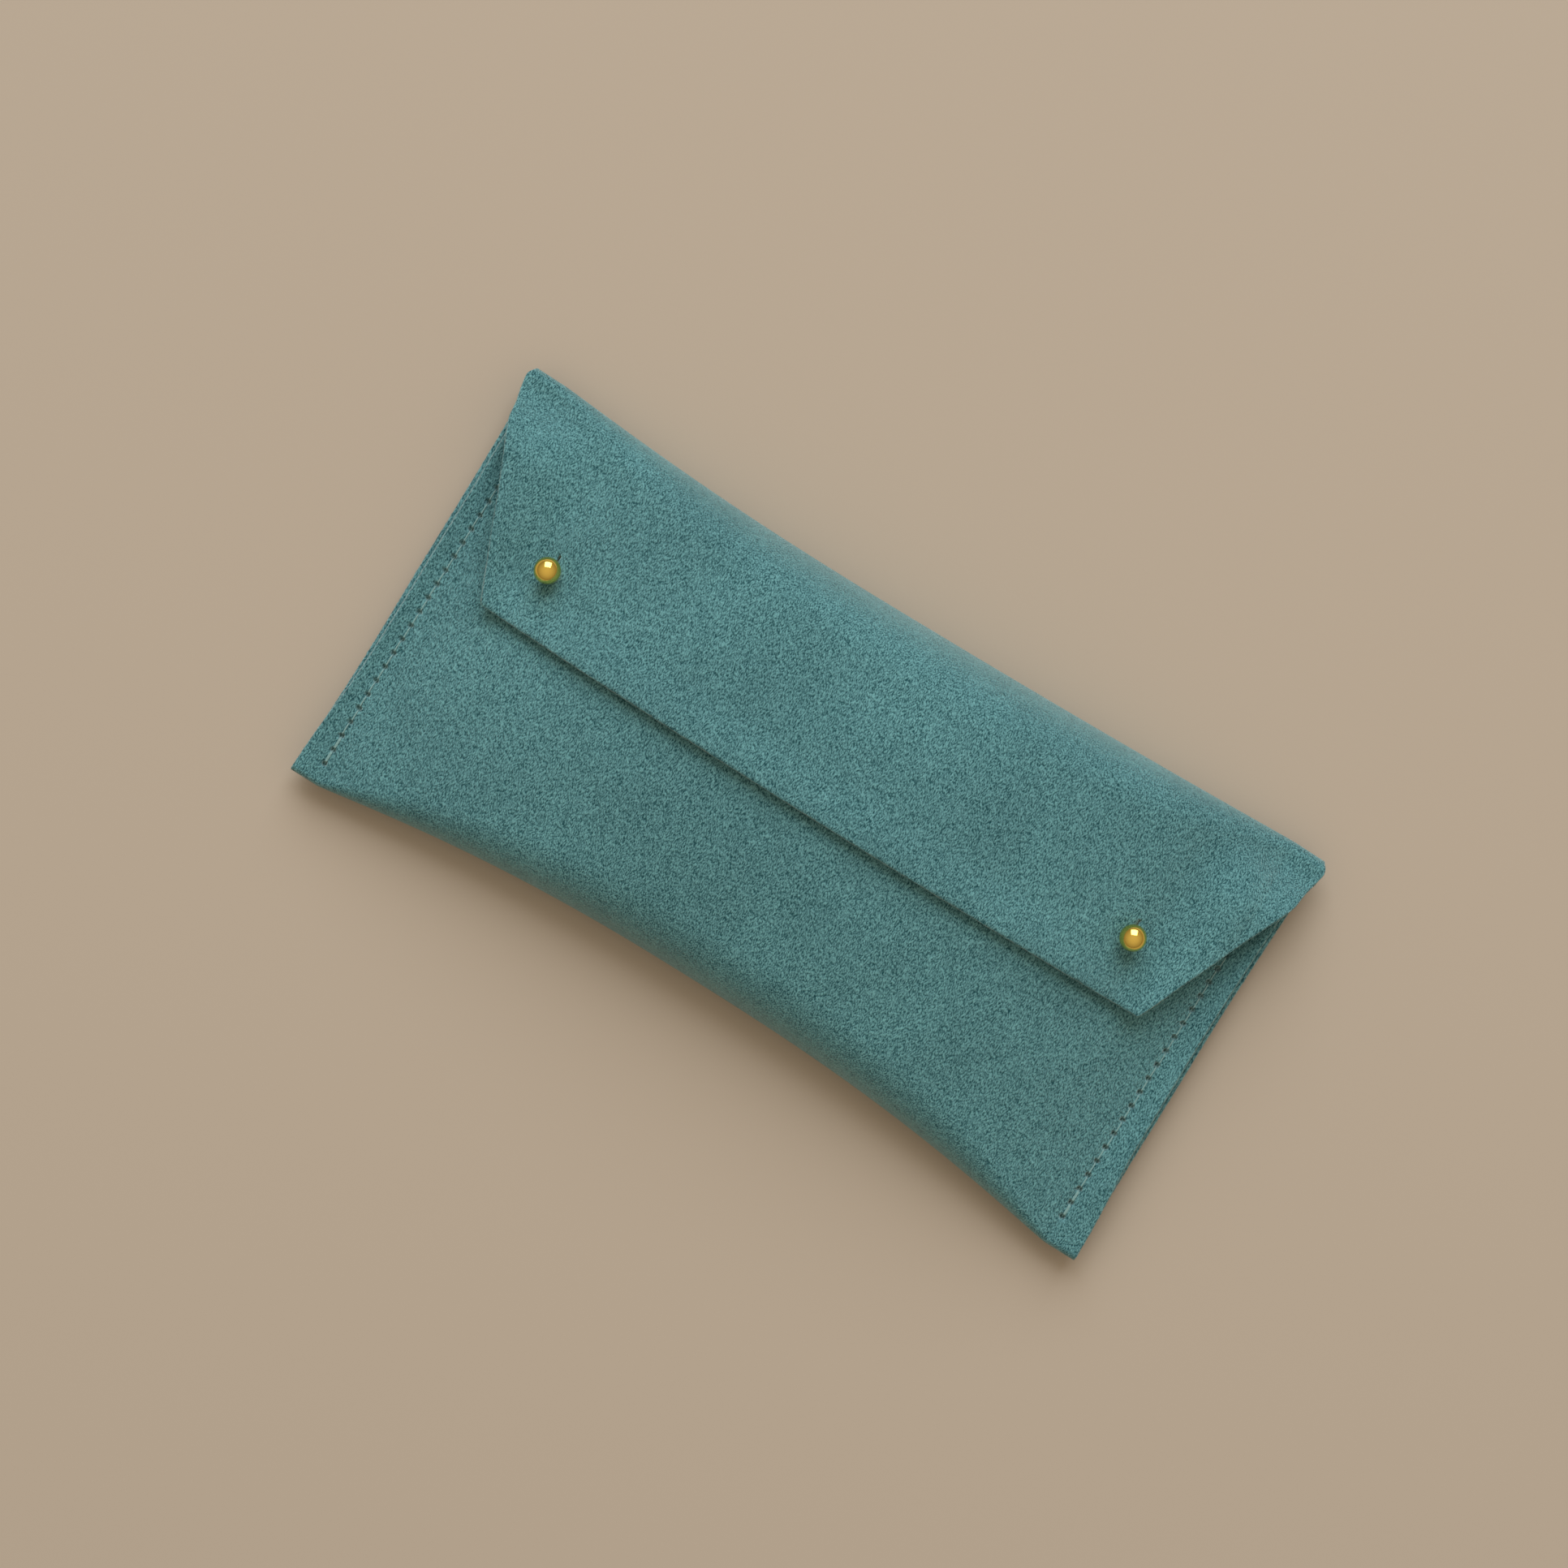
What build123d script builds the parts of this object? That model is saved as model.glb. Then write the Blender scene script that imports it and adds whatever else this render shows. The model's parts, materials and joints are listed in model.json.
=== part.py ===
from build123d import *

import os
from math import asin, cos, radians, sin

# A soft suede pouch for glasses: one folded sheet sewn up both sides, with a flap held by two ball studs.
# The pouch lies on its back. +X runs along the folds, +Y from the bottom fold to the flap's fold, +Z up.
# The origin is on the table, under the middle of the pouch. Lengths are in millimetres.

# The leather and the outline of the filled pouch
LEATHER = 1.2  # thickness of the suede
FOLD_LENGTH = 180.0  # length of the flap's fold, the full width of the sheet
BODY_LENGTH = 176.0  # over the sewn sides, drawn in by the filling
DEPTH = 90.0  # from fold to fold at the sewn sides
TOP_PULL = 2.5  # how far the flap's fold is drawn in at the middle
BASE_PULL = 6.8  # how far the bottom fold is drawn in at the middle
SEAM_Z = 5.0  # height of the plane where the sewn layers meet
CROWN = 14.2  # height of the hollow above that plane, at the middle
PUFF_END = 82.0  # where the hollow closes, just inside the stitches
PUFF_POWER = 2.4
PUFF_SOFTNESS = 1.1
BELLY_POWER = 5.0
FOLD_SHARE = 0.6  # inner radius of the bottom fold, as a share of the hollow's height
FLAP_FOLD_SHARE = 0.7  # the same for the flap's fold
CLOSED = 0.05  # height left to the hollow where it has closed
SHAVE = 0.05  # cut off the back to leave it truly flat

# The mouth and the flap
MOUTH_Y = 34.0  # upper edge of the front panel
FLAP_GAP = 0.6  # between the front panel and the flap, at the middle
FLAP_LIFT = 0.6  # more of that gap over the seams, to clear the thread
HINGE_GAP = 0.3  # between the back panel and the flap, at the fold
TIP_Y = 1.0  # the flap's free edge
TIP_HALF = 72.5  # half the length of that edge
TAPER_Y = 34.0  # where the flap's sides start to slant
TAPER_HALF = 88.4
FLARE_Y = 41.0  # where the sheet reaches its full width

# The seams, of which the right one (side 1) starts a little higher than the left (side -1)
STITCH_X = 82.6
STITCH_FIRST = {-1: -40.6, 1: -39.0}
STITCH_PITCH = 3.1
STITCH_COUNT = 23
THREAD = 0.4  # diameter of the thread
NEEDLE = 1.0  # diameter of a needle hole
LEG_APART = 0.5  # between the two legs of thread in one hole
THREAD_BEND = 0.22

# The studs, of which the right one is set a little nearer the middle
STUD_X = {-1: 64.2, 1: 62.8}
STUD_Y = 13.0
STUD_SEAT = 0.1  # the collar sits this far off the curved leather
HEAD_RADIUS = 2.6
NECK_RADIUS = 1.35
COLLAR_RADIUS = 2.5
COLLAR_THICK = 0.4
NECK_LENGTH = 1.9
BASE_RADIUS = 4.0
BASE_THICK = 0.9
BASE_DROP = 0.15  # the base sits this far off the curved leather
SCREW_RADIUS = 1.0
SCREW_REACH = 3.2  # how far the screw goes into the head
RUNNING = 0.05
SLOT_WIDTH = 0.8
SLOT_DEPTH = 0.4
KEYHOLE_RADIUS = 3.9  # the flap's hole, at the size that it stretches to over the head
KEYHOLE_OUT = 0.7  # from the stud towards the pouch's end
KEYHOLE_DOWN = 0.7  # from the stud towards the flap's free edge

HALF_STATIONS = (0, 18, 34, 47, 58, 71, 78, 82.2)
TALL = 60.0  # taller than anything here
WIDE = 300.0  # wider than anything here


def stations(end):
    """Cutting planes along X, out to both ends."""
    side = [*HALF_STATIONS[1:], end]
    return [*(-x for x in reversed(side)), 0, *side]


def share_left(x, power):
    """1 at the middle of the pouch, 0 where the hollow closes."""
    return max(0.0, 1 - abs(x / PUFF_END) ** power)


def puff(x):
    return share_left(x, PUFF_POWER) ** PUFF_SOFTNESS


def crown_at(x):
    return CROWN * puff(x) + CLOSED


def belly_at(x):
    return (SEAM_Z - LEATHER) * share_left(x, BELLY_POWER) + CLOSED


def hollow(x):
    """Centre and half the width of the hollow, along Y."""
    top = DEPTH / 2 - TOP_PULL * puff(x) - LEATHER
    base = -DEPTH / 2 + BASE_PULL * puff(x) + LEATHER
    return (top + base) / 2, (top - base) / 2


def flap_height(x):
    return crown_at(x) + LEATHER + FLAP_GAP + FLAP_LIFT * (1 - puff(x))


def arch(x, height, share):
    """An arch over the hollow: its fold radius, crown radius, and the lean of their join."""
    _, half = hollow(x)
    fold = share * height
    crown = ((half - fold) ** 2 + height**2 - fold**2) / (2 * (height - fold))
    return fold, crown, asin((half - fold) / (crown - fold))


def front_height(x, y):
    """Height of the front panel's outer face."""
    centre, _ = hollow(x)
    _, crown, _ = arch(x, crown_at(x), FOLD_SHARE)
    return SEAM_Z + crown_at(x) - crown + ((crown + LEATHER) ** 2 - (y - centre) ** 2) ** 0.5


def draw_arch(x, height, share, out):
    """Draws the arch in the YZ plane, `out` from the hollow, and returns its ends."""
    centre, half = hollow(x)
    fold, crown, lean = arch(x, height, share)
    reach = half - fold
    small, large = fold + out, crown + out
    ends, joins, middles = [], [], []
    for way in (1, -1):
        ends.append((centre + way * (half + out), SEAM_Z))
        joins.append((centre + way * (reach + small * sin(lean)), SEAM_Z + small * cos(lean)))
        half_turn = (radians(90) + lean) / 2
        middles.append((centre + way * (reach + small * sin(half_turn)), SEAM_Z + small * cos(half_turn)))
    ThreePointArc(ends[0], middles[0], joins[0])
    ThreePointArc(joins[0], (centre, SEAM_Z + height - crown + large), joins[1])
    ThreePointArc(joins[1], middles[1], ends[1])
    return ends


def draw_tray(x, depth, out):
    """Draws the lower half in the YZ plane: a flat belly between two quarter rounds."""
    centre, half = hollow(x)
    radius = depth + out
    ends, feet = [], []
    for way in (1, -1):
        end = (centre + way * (half + out), SEAM_Z)
        foot = (centre + way * (half - depth), SEAM_Z - radius)
        bend = (centre + way * (half - depth + radius * sin(radians(45))), SEAM_Z - radius * cos(radians(45)))
        ThreePointArc(end, bend, foot)
        ends.append(end)
        feet.append(foot)
    Line(feet[0], feet[1])
    return ends


def close_band(inner, outer):
    for a, b in zip(inner, outer):
        Line(a, b)


def needle_places(side):
    return [(side * STITCH_X, STITCH_FIRST[side] + STITCH_PITCH * i) for i in range(STITCH_COUNT + 1)]


def stud_plane(side, out):
    """The plane that a stud stands on, `out` from the front panel's outer face."""
    near = next(x for x in HALF_STATIONS[::-1] if x < STUD_X[side])
    far = next(x for x in HALF_STATIONS if x > STUD_X[side])
    slope = (front_height(far, STUD_Y) - front_height(near, STUD_Y)) / (far - near)
    height = front_height(near, STUD_Y) + slope * (STUD_X[side] - near)
    normal = Vector(-side * slope, 0, 1).normalized()
    return Plane(Vector(side * STUD_X[side], STUD_Y, height) + normal * out, x_dir=(0, 1, 0), z_dir=normal)


os.makedirs("parts", exist_ok=True)

# Back panel: the flat of the pouch, with the lower half of both folds
with BuildPart() as back_panel:
    for x in stations(FOLD_LENGTH / 2):
        with BuildSketch(Plane.YZ.offset(x)):
            with BuildLine():
                inner = draw_tray(x, belly_at(x), 0)
                outer = draw_tray(x, belly_at(x), LEATHER)
                close_band(inner, outer)
            make_face()
    loft(ruled=True)
    split(bisect_by=Plane.XY.offset(SHAVE - CLOSED), keep=Keep.TOP)
    with BuildSketch(Plane.XY):
        with BuildLine():
            Polyline(
                (-BODY_LENGTH / 2, -DEPTH),
                (BODY_LENGTH / 2, -DEPTH),
                (BODY_LENGTH / 2, TAPER_Y),
                (FOLD_LENGTH / 2, FLARE_Y),
                (FOLD_LENGTH / 2, DEPTH),
                (-FOLD_LENGTH / 2, DEPTH),
                (-FOLD_LENGTH / 2, FLARE_Y),
                (-BODY_LENGTH / 2, TAPER_Y),
                close=True,
            )
        make_face()
    extrude(amount=SEAM_Z, mode=Mode.INTERSECT)
    with BuildSketch(Plane.XY):
        for side in (-1, 1):
            with Locations(*needle_places(side)):
                Circle(NEEDLE / 2)
    extrude(amount=SEAM_Z, mode=Mode.SUBTRACT)
    with BuildSketch(Plane.XY.offset(SEAM_Z - HINGE_GAP / 2)):
        with Locations((0, DEPTH / 2)):
            Rectangle(WIDE, DEPTH - 2 * MOUTH_Y)
    extrude(amount=SEAM_Z, mode=Mode.SUBTRACT)
back_panel.part.label = "back_panel"
export_step(back_panel.part, "parts/back_panel.step")

# Front panel: the upper face, from the bottom fold to the mouth
with BuildPart() as front_panel:
    for x in stations(BODY_LENGTH / 2):
        with BuildSketch(Plane.YZ.offset(x)):
            with BuildLine():
                inner = draw_arch(x, crown_at(x), FOLD_SHARE, 0)
                outer = draw_arch(x, crown_at(x), FOLD_SHARE, LEATHER)
                close_band(inner, outer)
            make_face()
    loft(ruled=True)
    with BuildSketch(Plane.XY):
        with Locations((0, MOUTH_Y)):
            Rectangle(WIDE, WIDE, align=(Align.CENTER, Align.MIN))
    extrude(amount=TALL, mode=Mode.SUBTRACT)
    with BuildSketch(Plane.XY):
        for side in (-1, 1):
            with Locations(*needle_places(side)):
                Circle(NEEDLE / 2)
    extrude(amount=TALL, mode=Mode.SUBTRACT)
    for side in (-1, 1):
        with BuildSketch(stud_plane(side, 0)):
            Circle(SCREW_RADIUS + RUNNING)
        extrude(amount=2 * LEATHER, both=True, mode=Mode.SUBTRACT)
front_panel.part.label = "front_panel"
export_step(front_panel.part, "parts/front_panel.step")

# Flap: the upper half of the fold and the cover that comes down over the mouth
with BuildPart() as flap:
    for x in stations(FOLD_LENGTH / 2):
        with BuildSketch(Plane.YZ.offset(x)):
            with BuildLine():
                inner = draw_arch(x, flap_height(x), FLAP_FOLD_SHARE, 0)
                outer = draw_arch(x, flap_height(x), FLAP_FOLD_SHARE, LEATHER)
                close_band(inner, outer)
            make_face()
    loft(ruled=True)
    with BuildSketch(Plane.XY.offset(SEAM_Z + HINGE_GAP / 2)):
        with BuildLine():
            Polyline(
                (-TIP_HALF, TIP_Y),
                (TIP_HALF, TIP_Y),
                (TAPER_HALF, TAPER_Y),
                (FOLD_LENGTH / 2, FLARE_Y),
                (FOLD_LENGTH / 2, DEPTH),
                (-FOLD_LENGTH / 2, DEPTH),
                (-FOLD_LENGTH / 2, FLARE_Y),
                (-TAPER_HALF, TAPER_Y),
                close=True,
            )
        make_face()
    extrude(amount=TALL, mode=Mode.INTERSECT)
    for side in (-1, 1):
        with BuildSketch(Plane.XY):
            with Locations((side * (STUD_X[side] + KEYHOLE_OUT), STUD_Y - KEYHOLE_DOWN)):
                Circle(KEYHOLE_RADIUS)
        extrude(amount=TALL, mode=Mode.SUBTRACT)
flap.part.label = "flap"
export_step(flap.part, "parts/flap.step")

# Studs: a ball on a collared neck, screwed down from inside the pouch
for side, name in ((-1, "left"), (1, "right")):
    head_height = COLLAR_THICK + NECK_LENGTH + HEAD_RADIUS
    with BuildPart(stud_plane(side, STUD_SEAT)) as stud_head:
        Cylinder(COLLAR_RADIUS, COLLAR_THICK, align=(Align.CENTER, Align.CENTER, Align.MIN))
        Cylinder(NECK_RADIUS, head_height, align=(Align.CENTER, Align.CENTER, Align.MIN))
        with Locations((0, 0, head_height - 0.2)):
            Sphere(HEAD_RADIUS)
        Cylinder(
            SCREW_RADIUS + RUNNING,
            SCREW_REACH + RUNNING,
            align=(Align.CENTER, Align.CENTER, Align.MIN),
            mode=Mode.SUBTRACT,
        )
    stud_head.part.label = f"{name}_stud_head"
    export_step(stud_head.part, f"parts/{name}_stud_head.step")

    with BuildPart(stud_plane(side, -LEATHER - BASE_DROP)) as stud_screw:
        Cylinder(BASE_RADIUS, BASE_THICK, align=(Align.CENTER, Align.CENTER, Align.MAX))
        chamfer(stud_screw.faces().sort_by(Axis.Z)[0].edges(), BASE_THICK / 4)
        Cylinder(
            SCREW_RADIUS,
            BASE_DROP + LEATHER + STUD_SEAT + SCREW_REACH,
            align=(Align.CENTER, Align.CENTER, Align.MIN),
        )
        with Locations((0, 0, -BASE_THICK)):
            Box(
                2 * BASE_RADIUS,
                SLOT_WIDTH,
                SLOT_DEPTH,
                align=(Align.CENTER, Align.CENTER, Align.MIN),
                mode=Mode.SUBTRACT,
            )
    stud_screw.part.label = f"{name}_stud_screw"
    export_step(stud_screw.part, f"parts/{name}_stud_screw.step")

# Seams: a needle thread on the front and a bobbin thread on the back, locked together in each hole
for side, name in ((-1, "left"), (1, "right")):
    for way, layer in ((1, "needle_thread"), (-1, "bobbin_thread")):
        bar = SEAM_Z + way * (LEATHER + CLOSED + THREAD / 2)
        turn = SEAM_Z + way * (CLOSED + THREAD / 2)
        places = []
        for _, y in needle_places(side):
            places += [(y - LEG_APART / 2, bar), (y - LEG_APART / 2, turn)]
            places += [(y + LEG_APART / 2, turn), (y + LEG_APART / 2, bar)]
        with BuildPart() as thread:
            with BuildLine(Plane.YZ.offset(side * STITCH_X)):
                line = FilletPolyline(*places[1:-1], radius=THREAD_BEND)
            with BuildSketch(Plane(line @ 0, z_dir=line % 0)):
                Circle(THREAD / 2)
            sweep()
        thread.part.label = f"{name}_{layer}"
        export_step(thread.part, f"parts/{name}_{layer}.step")
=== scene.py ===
"""A soft suede pouch for glasses, folded from one sheet, sewn up both sides and buttoned over two ball studs.

Run as a script, it makes the suede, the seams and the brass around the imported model, on a plain table.
"""

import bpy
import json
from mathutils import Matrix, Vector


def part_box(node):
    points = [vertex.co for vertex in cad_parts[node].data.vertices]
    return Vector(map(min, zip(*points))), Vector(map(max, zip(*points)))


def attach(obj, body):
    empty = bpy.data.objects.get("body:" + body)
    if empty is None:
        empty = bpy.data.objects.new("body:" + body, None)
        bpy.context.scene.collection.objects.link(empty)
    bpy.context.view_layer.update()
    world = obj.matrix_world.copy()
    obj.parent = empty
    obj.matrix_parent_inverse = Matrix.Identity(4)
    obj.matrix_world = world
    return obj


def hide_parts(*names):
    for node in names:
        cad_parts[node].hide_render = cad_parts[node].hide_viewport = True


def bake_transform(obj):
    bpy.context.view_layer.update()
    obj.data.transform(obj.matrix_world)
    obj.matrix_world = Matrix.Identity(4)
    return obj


bl_info = {
    "name": "Suede Glasses Pouch",
    "version": (1, 0, 0),
    "blender": (4, 5, 0),
    "location": "View3D > Sidebar > Pouch",
    "description": "Makes a folded and sewn suede pouch for glasses, with two brass ball studs",
    "category": "Add Mesh",
}

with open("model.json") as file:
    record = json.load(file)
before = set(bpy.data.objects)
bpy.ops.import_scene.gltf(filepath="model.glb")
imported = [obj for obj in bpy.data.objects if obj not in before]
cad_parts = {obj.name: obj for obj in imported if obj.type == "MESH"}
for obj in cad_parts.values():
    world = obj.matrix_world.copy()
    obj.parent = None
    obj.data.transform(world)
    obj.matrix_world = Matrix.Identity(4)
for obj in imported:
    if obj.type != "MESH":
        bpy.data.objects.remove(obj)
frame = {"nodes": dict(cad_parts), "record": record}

import json
from math import cos, pi, radians, sin

import bpy
import numpy as np
from bpy.props import FloatProperty, IntProperty, PointerProperty, StringProperty
from mathutils import Matrix, Vector

MM = 0.001

HINGE = next(j for j in frame["record"]["behaviour"]["joints"] if j["name"] == "flap_hinge")
SEAM_Z = HINGE["pos_m"][2]
SHEET_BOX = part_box("back_panel")
FRONT_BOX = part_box("front_panel")
FLAP_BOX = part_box("flap")
SHEET_SIZE = [high - low for low, high in zip(*SHEET_BOX)]


# Sizes and colours


def size(name, description, default, low=0.0, high=1.0):
    return FloatProperty(
        name=name, description=description, default=default, min=low, max=high, unit="LENGTH", precision=5
    )


def number(name, description, default, low=0.0):
    return FloatProperty(name=name, description=description, default=default, min=low)


def colour(name, description, default):
    return StringProperty(name=name, description=description, default=default, maxlen=7)


class PouchLeather(bpy.types.PropertyGroup):
    thickness: size("Thickness", "Thickness of the suede", 1.2 * MM)
    fold_length: size("Fold length", "Width of the sheet where the flap folds over", SHEET_SIZE[0])
    body_length: size("Body length", "Length over the sewn sides", FRONT_BOX[1][0] - FRONT_BOX[0][0])
    depth: size("Depth", "From fold to fold at the sewn sides", SHEET_SIZE[1])
    top_pull: size("Top pull", "How far the filling draws in the flap's fold at the middle", 2.5 * MM)
    base_pull: size("Base pull", "How far the filling draws in the bottom fold at the middle", 6.8 * MM)
    side_pull: size("Side pull", "How far the filling draws in the sewn sides at the middle", 0.8 * MM)
    crown: size("Crown", "Height of the hollow above the seams, at the middle", 13.8 * MM)
    puff_end: size("Puff end", "Where the hollow closes, from the middle", 82.0 * MM)
    mouth: size("Mouth", "Upper edge of the front panel, from the middle of the depth", FRONT_BOX[1][1])
    flap_tip: size("Flap tip", "The flap's free edge, from the middle of the depth", FLAP_BOX[0][1])
    tip_length: size("Tip length", "Length of the flap's free edge", 145.0 * MM)
    tip_bow: size("Tip bow", "How far the flap's free edge hangs down at its middle", 0.9 * MM)
    flap_gap: size("Flap gap", "Between the flap and the front panel", 0.35 * MM)
    left_lift: size("Left lift", "How far the flap's left side stands up", 4.8 * MM)
    right_lift: size("Right lift", "How far the flap's right side stands up", 5.0 * MM)
    tip_lift: size("Tip lift", "How far the flap's free edge stands up", 0.8 * MM)
    fold_sway: size("Fold sway", "How far the flap's fold wanders from a straight line", 0.5 * MM)
    ripple: size("Ripple", "Height of the soft waves in the leather", 0.35 * MM)
    nap_width: size("Nap width", "Width of a tuft of the nap", 0.2 * MM)
    nap_length: size("Nap length", "Length of a tuft of the nap, along its lie", 0.5 * MM)
    nap_light: colour("Nap, light", "Colour of the nap's tips", "#77B3BA")
    nap_dark: colour("Nap, dark", "Colour between the tufts", "#1F5159")


class PouchSeams(bpy.types.PropertyGroup):
    left_inset: size("Left inset", "From the middle of the pouch to the left seam", 83.0 * MM)
    right_inset: size("Right inset", "From the middle of the pouch to the right seam", 82.2 * MM)
    left_first: size("Left first hole", "From the middle down to the left seam's lowest hole", 40.6 * MM)
    right_first: size("Right first hole", "From the middle down to the right seam's lowest hole", 39.0 * MM)
    pitch: size("Pitch", "Length of a stitch", 3.1 * MM)
    stitches: IntProperty(name="Stitches", description="Stitches in each seam", default=23, min=1)
    backtack: IntProperty(name="Backtack", description="Stitches sewn twice at the bottom", default=2, min=0)
    thread: size("Thread", "Diameter of the thread", 0.3 * MM)
    sink: size("Sink", "How far the seam is drawn into the leather", 0.15 * MM)
    hole: size("Needle hole", "Radius of a needle hole", 0.46 * MM)
    hole_depth: size("Hole depth", "How far a needle hole can be seen into", 1.08 * MM)
    thread_light: colour("Thread, light", "Colour of the thread's plies", "#96C2C3")
    thread_dark: colour("Thread, dark", "Colour between the plies", "#6A9B9D")


class PouchStuds(bpy.types.PropertyGroup):
    left_across: size("Left across", "From the middle of the pouch to the left stud's seat", 64.2 * MM)
    right_across: size("Right across", "From the middle of the pouch to the right stud's seat", 62.8 * MM)
    along: size("Along", "From the middle of the depth to a stud's seat", 13.0 * MM)
    keyhole: size("Keyhole", "Radius of the flap's hole", 1.95 * MM)
    keyhole_shift: size("Keyhole shift", "How far the flap's pull sets its hole outwards", 0.55 * MM)
    slit: size("Slit", "Length of the cut from the stud towards the fold", 3.8 * MM)
    slit_width: size("Slit width", "Width of that cut", 0.4 * MM)
    brass_colour: colour("Brass colour", "Colour of the polished brass", "#F8DB6E")


class PouchStage(bpy.types.PropertyGroup):
    floor_colour: colour("Floor colour", "Colour of the plain table", "#BAB0A0")
    field: size("Field", "Width of floor that the picture takes in", 302.0 * MM)
    turn: FloatProperty(
        name="Turn", description="Turn of the pouch in the picture", default=radians(32.1), subtype="ANGLE"
    )
    lens: number("Lens", "Focal length in mm", 50.0, low=1.0)
    sensor: number("Sensor", "Width of the camera's sensor in mm", 24.0, low=1.0)
    aside: size("Aside", "How far the pouch lies right of the picture's middle", 4.2 * MM)
    below: size("Below", "How far the pouch lies below the picture's middle", 5.8 * MM)
    window_width: size("Window width", "Side of the square window", 2.4, high=10.0)
    window_power: number("Window power", "Light from the window in W", 64.0)
    window_colour: colour("Window colour", "Colour of the daylight", "#F8FAFF")
    room_colour: colour("Room colour", "Colour of the light from the walls and ceiling", "#FFE8CE")
    room_low: number("Room, low", "Strength of the room's light from straight below", 0.24)
    room_high: number("Room, high", "Strength of the room's light from the ceiling", 0.64)


# The shape of the filled pouch

CLOSED = 0.03 * MM  # height left to the hollow where it has closed
FOLD_SHARE = 0.78  # inner radius of the bottom fold, as a share of the hollow's height
FLAP_FOLD_SHARE = 0.84  # the same for the flap's fold
JOIN_Y = -30 * MM  # where the two pieces of suede meet under the pouch
JOIN_GAP = 0.02 * MM
CORNER_FLARE = 0.2 * MM  # how far each corner of the body stands out past its stated length
OUT_OF_SQUARE = 0.3 * MM


def share_left(leather, x, power):
    """1 at the middle of the pouch, 0 where the hollow closes; a higher power closes it later and faster."""
    return np.clip(1 - np.abs(x / leather.puff_end) ** power, 0, None)


def puff(leather, x):
    """How full the pouch is at x, from 1 at the middle to 0 at its ends."""
    return share_left(leather, x, 2.4) ** 1.1


def crown_at(leather, x):
    """Height of the hollow above the seams."""
    return leather.crown * puff(leather, x) + CLOSED


def belly_at(leather, x):
    """Depth of the hollow below the seams: the pouch lies flat on the table but for its ends."""
    return (SEAM_Z - leather.thickness - CLOSED) * share_left(leather, x, 5) + CLOSED


def hollow(leather, x):
    """Centre and half the width of the hollow, along Y."""
    top = leather.depth / 2 - leather.top_pull * puff(leather, x) - leather.thickness
    base = -leather.depth / 2 + leather.base_pull * puff(leather, x) + leather.thickness
    return (top + base) / 2, (top - base) / 2


def tray(leather, x, way, turn):
    """The lower quarter round at a fold: turn is 0 at its foot on the belly and 1 where it stands upright."""
    centre, half = hollow(leather, x)
    radius = belly_at(leather, x) + leather.thickness
    angle = turn * pi / 2
    across = half + leather.thickness - radius + radius * np.sin(angle)
    return centre + way * across, SEAM_Z - radius * np.cos(angle)


def arch(leather, x, way, height, fold_share, turn, edge):
    """The outer face over the hollow: turn 0 to 1 is the fold's round, 1 to 2 the crown out to y = edge."""
    centre, half = hollow(leather, x)
    fold = fold_share * height
    crown = ((half - fold) ** 2 + height**2 - fold**2) / (2 * (height - fold))
    lean = np.arcsin((half - fold) / (crown - fold))
    small, large = fold + leather.thickness, crown + leather.thickness
    round_angle = pi / 2 + (lean - pi / 2) * np.clip(turn, 0, 1)
    end = np.arcsin(way * (edge - centre) / large)
    crown_angle = lean + (end - lean) * np.clip(turn - 1, 0, 1)
    on_crown = turn > 1
    across = np.where(on_crown, large * np.sin(crown_angle), half - fold + small * np.sin(round_angle))
    z = np.where(on_crown, height - crown + large * np.cos(crown_angle), small * np.cos(round_angle))
    return centre + way * across, SEAM_Z + z


def ripple(x, y, length, seed):
    """Soft waves of about that length, between -1 and 1."""
    rng = np.random.default_rng(seed)
    total = np.zeros(np.broadcast(x, y).shape)
    waves = 7
    for _ in range(waves):
        heading, phase, stretch = rng.uniform(0, 2 * pi), rng.uniform(0, 2 * pi), rng.uniform(0.7, 1.6)
        total += np.sin(2 * pi * (x * cos(heading) + y * sin(heading)) / (length * stretch) + phase)
    return total / waves


def seam_line(seams, x):
    """Distance of the seam on this side from the middle of the pouch."""
    return np.where(x < 0, seams.left_inset, seams.right_inset)


def ease(t):
    """A smooth step from 0 to 1."""
    t = np.clip(t, 0, 1)
    return t * t * (3 - 2 * t)


def flap_half(leather, y):
    """Half the length of the sheet at y, from the flap's free edge over its slanting sides to the fold."""
    tip, fold = leather.tip_length / 2, leather.fold_length / 2
    corners = (
        (leather.flap_tip, tip),
        (34.0 * MM, fold - 2.4 * MM),
        (37.5 * MM, fold - 1.8 * MM),
        (40.5 * MM, fold - 0.8 * MM),
        (43.2 * MM, fold - 0.3 * MM),
        (45.2 * MM, fold - 1.6 * MM),
    )
    places, halves = zip(*corners)
    rounding = np.linspace(-0.8 * MM, 0.8 * MM, 5)
    return np.mean([np.interp(y + step, places, halves) for step in rounding], axis=0)


def body_half(leather, y):
    """Half the length of the sewn body at y: the filling bows its sides in."""
    bow = 1 - np.clip(np.abs(2 * y / leather.depth), 0, 1) ** 2
    return leather.body_length / 2 + CORNER_FLARE - leather.side_pull * bow


def skew(y):
    """How far the lower half of the body lies to the right: it was not cut quite square."""
    return OUT_OF_SQUARE * ease((10 * MM - y) / (30 * MM))


def columns(seams, half):
    """Places along X from -1 to 1, close together within 1.5 mm of the seams to draw their needle holes."""
    seam = (seams.left_inset + seams.right_inset) / 2 / half
    near = 1.5 * MM / half
    parts = [
        np.linspace(0, seam - near, 82, endpoint=False),
        np.linspace(seam - near, seam + near, 17),
        np.linspace(seam + near, 1, 11)[1:],
    ]
    side = np.concatenate(parts)
    return np.concatenate([-side[:0:-1], side])


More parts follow.
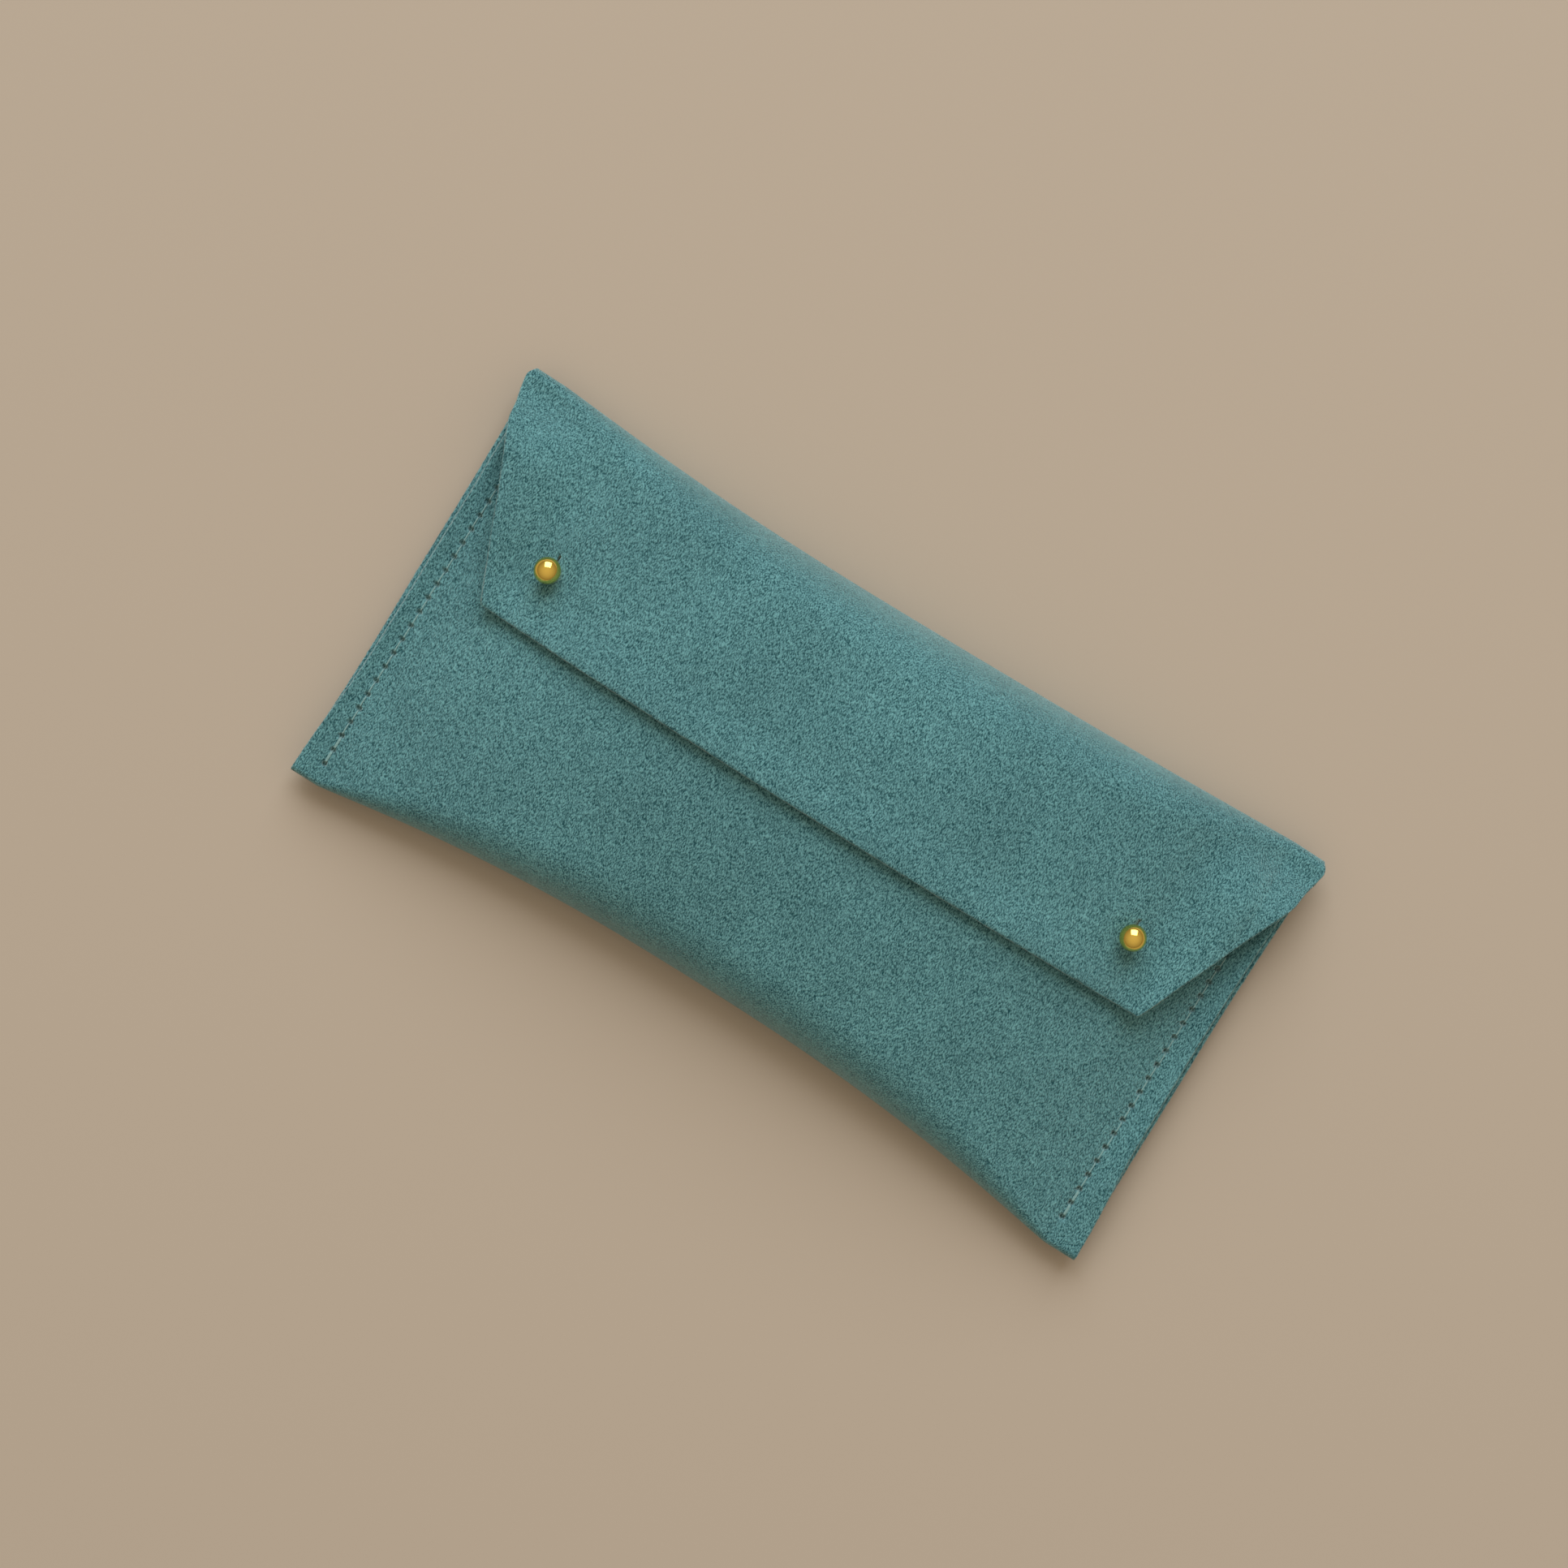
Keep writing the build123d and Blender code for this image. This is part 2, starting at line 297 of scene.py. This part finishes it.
def normals(points):
    along, across = np.gradient(points, axis=0), np.gradient(points, axis=1)
    n = np.cross(along, across)
    return n / np.linalg.norm(n, axis=2, keepdims=True)


def new_piece(name, points, faces, material):
    mesh = bpy.data.meshes.new(name)
    mesh.from_pydata(points, [], faces)
    mesh.validate()
    mesh.shade_smooth()
    piece = bpy.data.objects.new(name, mesh)
    bpy.context.collection.objects.link(piece)
    piece.data.materials.append(material)
    return piece


def seam_relief(seams, x, y):
    """How far a sewn face is drawn in: a shallow groove along each seam and a pit at each needle hole."""
    groove_half, run_out = 0.9 * MM, 1.2 * MM
    off = np.abs(x) - seam_line(seams, x)
    low = -np.where(x < 0, seams.left_first, seams.right_first)
    last = low + seams.pitch * seams.stitches
    inside = ease((y - low + run_out) / MM) * ease((last + run_out - y) / MM)
    groove = seams.sink * np.exp(-((off / groove_half) ** 2)) * inside
    nearest = np.clip(np.round((y - low) / seams.pitch), 0, seams.stitches)
    away = np.hypot(off, y - low - nearest * seams.pitch)
    return groove + seams.hole_depth * np.exp(-((away / seams.hole) ** 4))


def edge_gap(seams, x, y):
    """How far a sewn layer stands off the other outside the stitches: not at all at the bottom corners."""
    most = 1.0 * MM
    out = ease((np.abs(x) - seam_line(seams, x) - 0.8 * MM) / (4.5 * MM))
    return most * out * ease((y + 45 * MM) / (28 * MM))


def sheet_object(name, outer, inner, material):
    """A closed skin from an outer and an inner grid, with a slightly rounded and fibrous cut edge."""
    grid = np.arange(outer.shape[0] * outer.shape[1]).reshape(outer.shape[:2])
    quads = np.stack([grid[:-1, :-1], grid[:-1, 1:], grid[1:, 1:], grid[1:, :-1]], axis=-1).reshape(-1, 4)
    rim = np.concatenate([grid[0, :-1], grid[:-1, -1], grid[-1, :0:-1], grid[:0:-1, 0]])
    inward = np.concatenate([grid[1, :-1], grid[:-1, -2], grid[-2, :0:-1], grid[:0:-1, 1]])
    flat_outer, flat_inner = outer.reshape(-1, 3), inner.reshape(-1, 3)
    away = flat_outer[rim] - flat_outer[inward]
    away /= np.linalg.norm(away, axis=1, keepdims=True)
    rng = np.random.default_rng(len(rim))
    points = [flat_outer, flat_inner]
    loops = [rim]
    count = 2 * len(flat_outer)
    # Each ring of the cut edge: its depth as a share of the thickness, and how far it stands out in mm.
    for part, bulge in ((0.1, 0.09), (0.3, 0.14), (0.55, 0.15), (0.8, 0.12)):
        fibres = rng.normal(0, 0.035, len(rim))[:, None]
        points.append(flat_outer[rim] * (1 - part) + flat_inner[rim] * part + away * (bulge + fibres) * MM)
        loops.append(np.arange(count, count + len(rim)))
        count += len(rim)
    loops.append(rim + len(flat_outer))
    faces = [quads, quads[:, ::-1] + len(flat_outer)]
    for upper, lower in zip(loops, loops[1:]):
        faces.append(np.stack([np.roll(upper, -1), upper, lower, np.roll(lower, -1)], axis=-1))
    return new_piece(name, np.concatenate(points), np.concatenate(faces).tolist(), material)


def bake_modifiers(piece):
    """Makes the shape that the modifiers give the piece's own mesh."""
    shown = piece.evaluated_get(bpy.context.evaluated_depsgraph_get())
    mesh = bpy.data.meshes.new_from_object(shown)
    piece.modifiers.clear()
    old, piece.data = piece.data, mesh
    mesh.name = piece.name
    bpy.data.meshes.remove(old)


# Materials


def linear(code):
    """An sRGB hex colour as the linear one that the shaders take."""
    parts = [int(code[i : i + 2], 16) / 255 for i in (1, 3, 5)]
    return (*(p / 12.92 if p <= 0.04045 else ((p + 0.055) / 1.055) ** 2.4 for p in parts), 1.0)


def add(tree, kind, settings=(), **inputs):
    """Adds a node, with its settings and its inputs' values or links; an input i2 is the third of them."""
    node = tree.nodes.new(kind)
    for key, value in dict(settings).items():
        setattr(node, key, value)
    for key, value in inputs.items():
        by_place = key[0] == "i" and key[1:].isdigit()
        socket = node.inputs[int(key[1:]) if by_place else key.replace("_", " ")]
        if isinstance(value, bpy.types.NodeSocket):
            tree.links.new(value, socket)
        else:
            socket.default_value = value
    return node


def mix(tree, kind, share, low, high):
    """A blend of two numbers (FLOAT) or two colours (RGBA)."""
    first = {"FLOAT": 2, "RGBA": 6}[kind]
    ends = {f"i{first}": low, f"i{first + 1}": high}
    return add(tree, "ShaderNodeMix", {"data_type": kind}, i0=share, **ends)


def new_material(name):
    material = bpy.data.materials.new(name)
    material.use_nodes = True
    tree = material.node_tree
    shader = tree.nodes["Principled BSDF"]
    return material, tree, shader


def suede(leather):
    """Suede, dyed and brushed: matt, with short tufts along the sheet that catch light at its folds."""
    name = "brushed_teal_suede"
    if name in bpy.data.materials:
        return bpy.data.materials[name]
    material, tree, shader = new_material(name)
    place = add(tree, "ShaderNodeTexCoord").outputs["Object"]
    # Each tuft is a streak, drawn a little wider than the real fibres so that it shows.
    tuft = (1 / leather.nap_width, 1 / leather.nap_length, 1 / leather.nap_width)
    lie = add(tree, "ShaderNodeMapping", Vector=place, Rotation=(0, 0, radians(12)), Scale=tuft)
    tufts = add(tree, "ShaderNodeTexNoise", Vector=lie.outputs[0], Scale=1.0, Detail=2.0, Roughness=0.6)
    # Where the brush has pushed the nap over, patches of 15 to 30 mm look lighter or darker.
    strokes = add(tree, "ShaderNodeTexNoise", Vector=place, Scale=1 / (24 * MM), Detail=2.0, Distortion=0.6)
    # Tufts cling together in clumps of about a millimetre.
    clumps = add(tree, "ShaderNodeTexNoise", Vector=place, Scale=1 / (1.3 * MM), Detail=3.0)
    depth = mix(tree, "FLOAT", 0.1, tufts.outputs[0], clumps.outputs[0])
    spread = add(tree, "ShaderNodeMapRange", Value=depth.outputs[0], From_Min=0.38, From_Max=0.62)
    brushing = {"From_Min": 0.3, "From_Max": 0.7, "To_Min": 0.92, "To_Max": 1.08}
    tone = add(tree, "ShaderNodeMapRange", Value=strokes.outputs[0], **brushing)
    dye = mix(tree, "RGBA", spread.outputs[0], linear(leather.nap_dark), linear(leather.nap_light))
    worn = add(tree, "ShaderNodeVectorMath", {"operation": "SCALE"}, i0=dye.outputs[2], Scale=tone.outputs[0])
    bump = add(tree, "ShaderNodeBump", Strength=1.0, Distance=0.4 * MM, Height=depth.outputs[0])
    tree.links.new(worn.outputs[0], shader.inputs["Base Color"])
    tree.links.new(bump.outputs[0], shader.inputs["Normal"])
    shader.inputs["Roughness"].default_value = 0.95
    shader.inputs["Specular IOR Level"].default_value = 0.15
    shader.inputs["Sheen Weight"].default_value = 1.0
    shader.inputs["Sheen Roughness"].default_value = 0.3
    shader.inputs["Sheen Tint"].default_value = linear("#CFE4E2")
    return material


def thread_finish(seams):
    """Polyester sewing thread, spun and twisted: a soft gloss on each ply."""
    name = "twisted_polyester_thread"
    if name in bpy.data.materials:
        return bpy.data.materials[name]
    material, tree, shader = new_material(name)
    place = add(tree, "ShaderNodeTexCoord").outputs["Object"]
    fibres = add(tree, "ShaderNodeTexNoise", Vector=place, Scale=1 / (0.12 * MM), Detail=2.0)
    dark, light = linear(seams.thread_dark), linear(seams.thread_light)
    dye = mix(tree, "RGBA", fibres.outputs[0], dark, light)
    tree.links.new(dye.outputs[2], shader.inputs["Base Color"])
    shader.inputs["Roughness"].default_value = 0.5
    shader.inputs["Sheen Weight"].default_value = 0.3
    return material


def brass_finish(studs):
    """Brass, turned and polished: a mirror, with hairlines from the mop that soften its highlights."""
    name = "polished_brass"
    if name in bpy.data.materials:
        return bpy.data.materials[name]
    material, tree, shader = new_material(name)
    place = add(tree, "ShaderNodeTexCoord").outputs["Object"]
    hairlines = add(tree, "ShaderNodeTexNoise", Vector=place, Scale=1 / (0.25 * MM), Detail=3.0)
    gloss = add(tree, "ShaderNodeMapRange", Value=hairlines.outputs[0], To_Min=0.06, To_Max=0.16)
    tree.links.new(gloss.outputs[0], shader.inputs["Roughness"])
    shader.inputs["Base Color"].default_value = linear(studs.brass_colour)
    shader.inputs["Metallic"].default_value = 1.0
    return material


def floor_finish(stage):
    """A table painted matt, plain and pale: it takes soft shadows and gives a little warm light back."""
    material, _, shader = new_material("matt_painted_table")
    shader.inputs["Base Color"].default_value = linear(stage.floor_colour)
    shader.inputs["Roughness"].default_value = 0.8
    return material


# The pieces


def front_gap(leather, studs, x, y):
    """How far the flap's inner face lies above the front: more over the studs' collars and at the tip."""
    across = np.where(x < 0, studs.left_across, studs.right_across)
    near = np.hypot(np.abs(x) - across, y - studs.along)
    collar = 0.25 * MM * np.exp(-((near / (6 * MM)) ** 4))
    tip = leather.tip_lift * ease(1 - (y - leather.flap_tip) / (9 * MM))
    return leather.flap_gap + collar + tip


def side_lift(leather, studs, x, y):
    """How far the flap stands up at its slanting sides: it rises over 15 mm, from 3 mm past the studs."""
    across = np.where(x < 0, studs.left_across, studs.right_across)
    lift = np.where(x < 0, leather.left_lift, leather.right_lift)
    return lift * ease((np.abs(x) - across - 3 * MM) / (15 * MM)) * ease((44 * MM - y) / (16 * MM))


def sway(leather, x, y):
    """How far the flap's fold wanders along Y from a straight line."""
    return leather.fold_sway * np.sin(2 * pi * x / leather.fold_length) * ease((y - 16 * MM) / (26 * MM))


def wrap(leather, x, way, join, edge, height, fold_share, runs):
    """Carries the rows of x from under the pouch, round one fold and over the hollow to y = edge.

    runs are the rows' places on the belly, on the lower quarter round, and on the arch.
    """
    belly, low, high = runs
    a, b = len(belly), len(belly) + len(low)
    foot, floor = tray(leather, x[:a], way, 0.0)
    belly_y = join + (foot - join) * belly[:, None]
    low_y, low_z = tray(leather, x[a:b], way, low[:, None])
    high_y, high_z = arch(leather, x[b:], way, height(x[b:]), fold_share, high[:, None], edge)
    return np.concatenate([belly_y, low_y, high_y]), np.concatenate([floor, low_z, high_z])


def swell(leather, x, y):
    """The soft waves in the upper leather, which die out at the seams."""
    loose = np.clip(2.5 * puff(leather, x), 0, 1)
    wave = ripple(x, y, 60 * MM, 4) + 0.5 * ripple(x, y, 28 * MM, 9)
    return leather.ripple * wave * loose


def back_and_flap(leather, seams, studs, material):
    """From under the pouch up the back, round the flap's fold and down to the flap's free edge."""
    runs = (
        np.linspace(0, 1, 230, endpoint=False),
        1 - (1 - np.linspace(0, 1, 16)) ** 2,
        np.concatenate([np.linspace(0, 1, 20)[1:] ** 2, np.linspace(1, 2, 50)[1:]]),
    )
    first = len(runs[0]) + len(runs[1])
    v = columns(seams, leather.body_length / 2)
    x = np.tile(v * leather.body_length / 2, (sum(map(len, runs)), 1))

    def height(x):
        return crown_at(leather, x) + leather.thickness

    def place(x):
        tip = leather.flap_tip - leather.tip_bow * (1 - (x[first:] / (leather.tip_length / 2)) ** 2)
        return wrap(leather, x, 1, JOIN_Y, tip, height, FLAP_FOLD_SHARE, runs)

    # The back stands out a little past the front, and widens into the ears at the flap's fold.
    y, _ = place(x)
    back = body_half(leather, y) + 0.3 * MM * ease((y + 30 * MM) / (30 * MM))
    ear = ease((y - 34 * MM) / (6 * MM))
    half = back * (1 - ear) + flap_half(leather, y) * ear
    half[first:] = flap_half(leather, y[first:])
    x = v * half + skew(y)
    y, z = place(x)
    smooth = np.stack([x, y, z], axis=-1)

    # Once it is over the fold, the flap lies on the front, the studs' collars and the seams.
    n = normals(smooth)
    over = np.zeros_like(x)
    over[first:] = ease((leather.depth / 2 - 1.5 * MM - y[first:]) / (8 * MM))
    smooth = smooth + n * (over * (front_gap(leather, studs, x, y) + swell(leather, x, y)))[..., None]
    smooth[..., 2] += over * side_lift(leather, studs, x, y)
    smooth[..., 1] += sway(leather, x, y)

    # Its sewn edges part from the front's a little, up to the fold, and nothing goes below the table.
    splay = 0.25 * edge_gap(seams, x, y) * ease((43 * MM - y) / (6 * MM))
    splay[first:] = 0
    smooth = smooth + n * splay[..., None]
    smooth[..., 2] = np.maximum(smooth[..., 2], 0)
    n = normals(smooth)
    inner = smooth - n * leather.thickness
    relief = seam_relief(seams, x, y)
    relief[first:] = 0
    outer = smooth - n * relief[..., None]
    return sheet_object("suede_back_and_flap", outer, inner, material)


def bottom_and_front(leather, seams, material):
    """From under the pouch, round the bottom fold and over the filling to the mouth."""
    runs = (
        np.linspace(0, 1, 7, endpoint=False),
        1 - (1 - np.linspace(0, 1, 16)) ** 2,
        np.concatenate([np.linspace(0, 1, 20)[1:] ** 2, np.linspace(1, 2, 330)[1:]]),
    )
    first = len(runs[0]) + len(runs[1])
    v = columns(seams, leather.body_length / 2)
    x = np.tile(v * leather.body_length / 2, (sum(map(len, runs)), 1))

    def height(x):
        return crown_at(leather, x)

    def place(x):
        return wrap(leather, x, -1, JOIN_Y - JOIN_GAP, leather.mouth, height, FOLD_SHARE, runs)

    # Above the bottom corners, the front is drawn in past the back.
    y, _ = place(x)
    half = body_half(leather, y)
    half[first:] -= 0.9 * MM * ease((y[first:] + 40 * MM) / (20 * MM))
    x = v * half + skew(y)
    y, z = place(x)
    smooth = np.stack([x, y, z], axis=-1)
    n = -normals(smooth)
    over = np.zeros_like(x)
    over[first:] = ease((y[first:] + leather.depth / 2 - 4 * MM) / (10 * MM))
    smooth = smooth + n * (over * (swell(leather, x, y) + edge_gap(seams, x, y)))[..., None]
    smooth[..., 2] = np.maximum(smooth[..., 2], 0)
    n = -normals(smooth)
    inner = smooth - n * leather.thickness
    outer = smooth - n * seam_relief(seams, x, y)[..., None]
    return sheet_object("suede_front", outer[:, ::-1], inner[:, ::-1], material)


def stud_frame(leather, studs, side):
    """Place and tilt of a stud: on the front panel, square to the line between two places beside it."""
    near, far = 58 * MM, 72 * MM

    def height(x):
        centre, half = hollow(leather, x)
        rise = crown_at(leather, x)
        fold = FOLD_SHARE * rise
        crown = ((half - fold) ** 2 + rise**2 - fold**2) / (2 * (rise - fold))
        return SEAM_Z + rise - crown + ((crown + leather.thickness) ** 2 - (studs.along - centre) ** 2) ** 0.5

    slope = (height(far) - height(near)) / (far - near)
    across = studs.left_across if side < 0 else studs.right_across
    foot = Vector((side * across, studs.along, height(near) + slope * (across - near)))
    up = Vector((-side * slope, 0, 1)).normalized()
    along = Vector((0, 1, 0))
    return Matrix((along.cross(up), along, up)).transposed(), foot


def keyhole_cutter(leather, studs, side):
    """A prism of the keyhole's outline: a round hole, and a slit from it towards the fold."""
    turn, foot = stud_frame(leather, studs, side)
    half = studs.slit_width / 2
    open_angle = np.arcsin(half / studs.keyhole)
    middle = foot + turn.col[0] * side * studs.keyhole_shift
    angles = np.linspace(pi / 2 + open_angle, 5 * pi / 2 - open_angle, 33)
    outline = [(studs.keyhole * cos(a), studs.keyhole * sin(a)) for a in angles]
    outline += [(half, studs.slit - half), (0, studs.slit), (-half, studs.slit - half)]
    low, high = -0.1 * MM, 7 * MM
    points = [middle + turn @ Vector((x, y, z)) for z in (low, high) for x, y in outline]
    n = len(outline)
    faces = [list(range(n))[::-1], list(range(n, 2 * n))]
    faces += [[i, (i + 1) % n, n + (i + 1) % n, n + i] for i in range(n)]
    mesh = bpy.data.meshes.new("keyhole_cutter")
    mesh.from_pydata(points, [], faces)
    cutter = bpy.data.objects.new("keyhole_cutter", mesh)
    bpy.context.collection.objects.link(cutter)
    return cutter


def cut_keyholes(piece, leather, studs):
    cutters = [keyhole_cutter(leather, studs, side) for side in (-1, 1)]
    for cutter in cutters:
        cut = piece.modifiers.new("keyhole", "BOOLEAN")
        cut.operation, cut.object, cut.solver = "DIFFERENCE", cutter, "EXACT"
    bpy.context.view_layer.update()
    bake_modifiers(piece)
    for cutter in cutters:
        bpy.data.meshes.remove(cutter.data)


def thread_mesh(name, paths, radius, material):
    """Three plies twisted together along each path."""
    sides, plies, groove = 12, 3, 0.16
    lay = 2.2 * MM  # length in which a ply goes once round
    points, faces = [], []
    for path in paths:
        path = np.array(path)
        along = np.gradient(path, axis=0)
        along /= np.linalg.norm(along, axis=1, keepdims=True)
        aside = np.cross(along, (1, 0, 0))
        aside /= np.linalg.norm(aside, axis=1, keepdims=True)
        across = np.cross(along, aside)
        travel = np.concatenate([[0], np.cumsum(np.linalg.norm(np.diff(path, axis=0), axis=1))])
        start = len(points)
        for i, centre in enumerate(path):
            twist = 2 * pi * travel[i] / lay
            for k in range(sides):
                a = 2 * pi * k / sides
                r = radius * (1 + groove * cos(plies * a)) / (1 + groove)
                points.append(centre + r * (cos(a + twist) * aside[i] + sin(a + twist) * across[i]))
        for i in range(len(path) - 1):
            for k in range(sides):
                a, b = start + i * sides + k, start + i * sides + (k + 1) % sides
                faces.append((a, b, b + sides, a + sides))
        faces.append([start + k for k in range(sides)][::-1])
        faces.append([start + (len(path) - 1) * sides + k for k in range(sides)])
    return new_piece(name, points, faces, material)


def stitch_paths(leather, seams, side, way):
    """The line of each stitch: out of one needle hole, along the leather and into the next."""
    bow, dive = 0.05 * MM, 0.9 * MM
    rng = np.random.default_rng(20 + side + 2 * way)
    face = SEAM_Z + way * (leather.thickness + CLOSED - seams.sink)
    radius = seams.thread / 2
    rest = np.sin(np.linspace(-pi / 2, pi / 2, 25))
    paths = []
    first = seams.left_first if side < 0 else seams.right_first
    for i in range(seams.stitches):
        start = -first + i * seams.pitch
        x = side * float(seam_line(seams, side)) + rng.normal(0, 0.05) * MM
        # The lowest stitches lie on the leather, and the others are pulled into it, each as it came.
        rise = radius * (0.35 if i < seams.backtack + 1 else 0.35 * rng.random() - 0.15)
        times = 2 if i < seams.backtack else 1
        for k in range(times):
            lean = (k - (times - 1) / 2) * 1.5 * radius
            y = start + seams.pitch * (rest + 1) / 2
            drop = dive * ease((np.abs(rest) - 0.62) / 0.2)
            z = face + way * (rise + bow * (1 - rest**2) - drop)
            paths.append([(x + lean * (1 - r**4), b, c) for r, b, c in zip(rest, y, z)])
    return paths


# The stage

TABLE_REACH = 3.0
WINDOW_PLACE = (-0.8, 1.95, 1.68)


def make_table(stage):
    mesh = bpy.data.meshes.new("table")
    reach = TABLE_REACH
    corners = [(-reach, -reach, 0), (reach, -reach, 0), (reach, reach, 0), (-reach, reach, 0)]
    mesh.from_pydata(corners, [], [(0, 1, 2, 3)])
    top = bpy.data.objects.new("table", mesh)
    bpy.context.collection.objects.link(top)
    top.data.materials.append(floor_finish(stage))
    return top


def camera_above(stage):
    """A camera that looks straight down, turned and moved aside as the pouch lies in the picture."""
    right = Vector((cos(stage.turn), sin(stage.turn), 0))
    up = Vector((-sin(stage.turn), cos(stage.turn), 0))
    place = -right * stage.aside + up * stage.below
    place.z = stage.field * stage.lens / stage.sensor
    data = bpy.data.cameras.new("camera")
    data.lens, data.sensor_width = stage.lens, stage.sensor
    camera = bpy.data.objects.new("camera", data)
    bpy.context.collection.objects.link(camera)
    camera.matrix_world = Matrix.Translation(place) @ Matrix.Rotation(stage.turn, 4, "Z")
    return camera


def window_light(stage):
    """Soft daylight from a large window, beyond the flap's fold and a little to its left."""
    light = bpy.data.lights.new("window", "AREA")
    light.shape, light.size = "SQUARE", stage.window_width
    light.energy, light.color = stage.window_power, linear(stage.window_colour)[:3]
    window = bpy.data.objects.new("window", light)
    bpy.context.collection.objects.link(window)
    window.location = WINDOW_PLACE
    window.rotation_mode = "QUATERNION"
    window.rotation_quaternion = (-window.location).to_track_quat("-Z", "Y")


def room_light(stage):
    """Warm light from all round: the room's ceiling is brighter than its walls."""
    world = bpy.data.worlds.new("studio")
    world.use_nodes = True
    tree = world.node_tree
    background = tree.nodes["Background"]
    way = add(tree, "ShaderNodeTexCoord").outputs["Generated"]
    up = add(tree, "ShaderNodeSeparateXYZ", Vector=way).outputs[2]
    bright = add(tree, "ShaderNodeMapRange", Value=up, To_Min=stage.room_low, To_Max=stage.room_high)
    background.inputs["Color"].default_value = linear(stage.room_colour)
    tree.links.new(bright.outputs[0], background.inputs["Strength"])
    return world


# Operators


class POUCH_OT_back_and_flap(bpy.types.Operator):
    """Make the suede from the back panel over the fold to the flap, with its keyholes"""

    bl_idname = "pouch.back_and_flap"
    bl_label = "Back and Flap"

    def execute(self, context):
        scene = context.scene
        leather, seams, studs = scene.pouch_leather, scene.pouch_seams, scene.pouch_studs
        piece = back_and_flap(leather, seams, studs, suede(leather))
        cut_keyholes(piece, leather, studs)
        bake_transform(piece)
        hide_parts("back_panel", "flap")
        return {"FINISHED"}


class POUCH_OT_front(bpy.types.Operator):
    """Make the suede from under the pouch round the bottom fold to the mouth"""

    bl_idname = "pouch.front"
    bl_label = "Front"

    def execute(self, context):
        leather, seams = context.scene.pouch_leather, context.scene.pouch_seams
        piece = bottom_and_front(leather, seams, suede(leather))
        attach(piece, "pouch")
        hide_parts("front_panel")
        return {"FINISHED"}


class POUCH_OT_seams(bpy.types.Operator):
    """Sew both seams, with a needle thread on the front and a bobbin thread on the back"""

    bl_idname = "pouch.seams"
    bl_label = "Seams"

    def execute(self, context):
        leather, seams = context.scene.pouch_leather, context.scene.pouch_seams
        material = thread_finish(seams)
        for side, word in ((-1, "left"), (1, "right")):
            for way, layer in ((1, "needle"), (-1, "bobbin")):
                paths = stitch_paths(leather, seams, side, way)
                piece = thread_mesh(f"{layer}_stitches_{word}", paths, seams.thread / 2, material)
                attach(piece, "pouch")
                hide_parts(f"{word}_{layer}_thread")
        return {"FINISHED"}


class POUCH_OT_studs(bpy.types.Operator):
    """Polish the brass studs and their screws"""

    bl_idname = "pouch.studs"
    bl_label = "Studs"

    def execute(self, context):
        brass = brass_finish(context.scene.pouch_studs)
        for word in ("left", "right"):
            for part in ("head", "screw"):
                node = frame["nodes"][f"{word}_stud_{part}"]
                node.data.materials.clear()
                node.data.materials.append(brass)
        return {"FINISHED"}


class POUCH_OT_stage(bpy.types.Operator):
    """Set the plain table, the soft light and the camera"""

    bl_idname = "pouch.stage"
    bl_label = "Stage"

    def execute(self, context):
        stage = context.scene.pouch_stage
        table = make_table(stage)
        context.scene.camera = camera_above(stage)
        window_light(stage)
        context.scene.world = room_light(stage)
        context.scene.view_settings.view_transform = "Standard"
        return {"FINISHED"}


class POUCH_PT_sidebar(bpy.types.Panel):
    """The pouch's sizes and its operators"""

    bl_idname = "POUCH_PT_sidebar"
    bl_label = "Suede Pouch"
    bl_space_type = "VIEW_3D"
    bl_region_type = "UI"
    bl_category = "Pouch"

    def draw(self, context):
        for group in GROUPS:
            box = self.layout.box()
            values = getattr(context.scene, group)
            for name in values.__annotations__:
                box.prop(values, name)
        for operator in OPERATORS:
            self.layout.operator(operator.bl_idname)


GROUPS = {
    "pouch_leather": PouchLeather,
    "pouch_seams": PouchSeams,
    "pouch_studs": PouchStuds,
    "pouch_stage": PouchStage,
}
OPERATORS = (
    POUCH_OT_stage,
    POUCH_OT_front,
    POUCH_OT_back_and_flap,
    POUCH_OT_seams,
    POUCH_OT_studs,
)
CLASSES = (*GROUPS.values(), *OPERATORS, POUCH_PT_sidebar)


def register():
    for kind in CLASSES:
        bpy.utils.register_class(kind)
    for name, kind in GROUPS.items():
        setattr(bpy.types.Scene, name, PointerProperty(type=kind))


def unregister():
    for name in GROUPS:
        delattr(bpy.types.Scene, name)
    for kind in reversed(CLASSES):
        bpy.utils.unregister_class(kind)


def main():
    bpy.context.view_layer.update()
    register()
    bpy.ops.pouch.stage()
    bpy.ops.pouch.front()
    bpy.ops.pouch.back_and_flap()
    bpy.ops.pouch.seams()
    bpy.ops.pouch.studs()


if __name__ == "__main__":
    main()
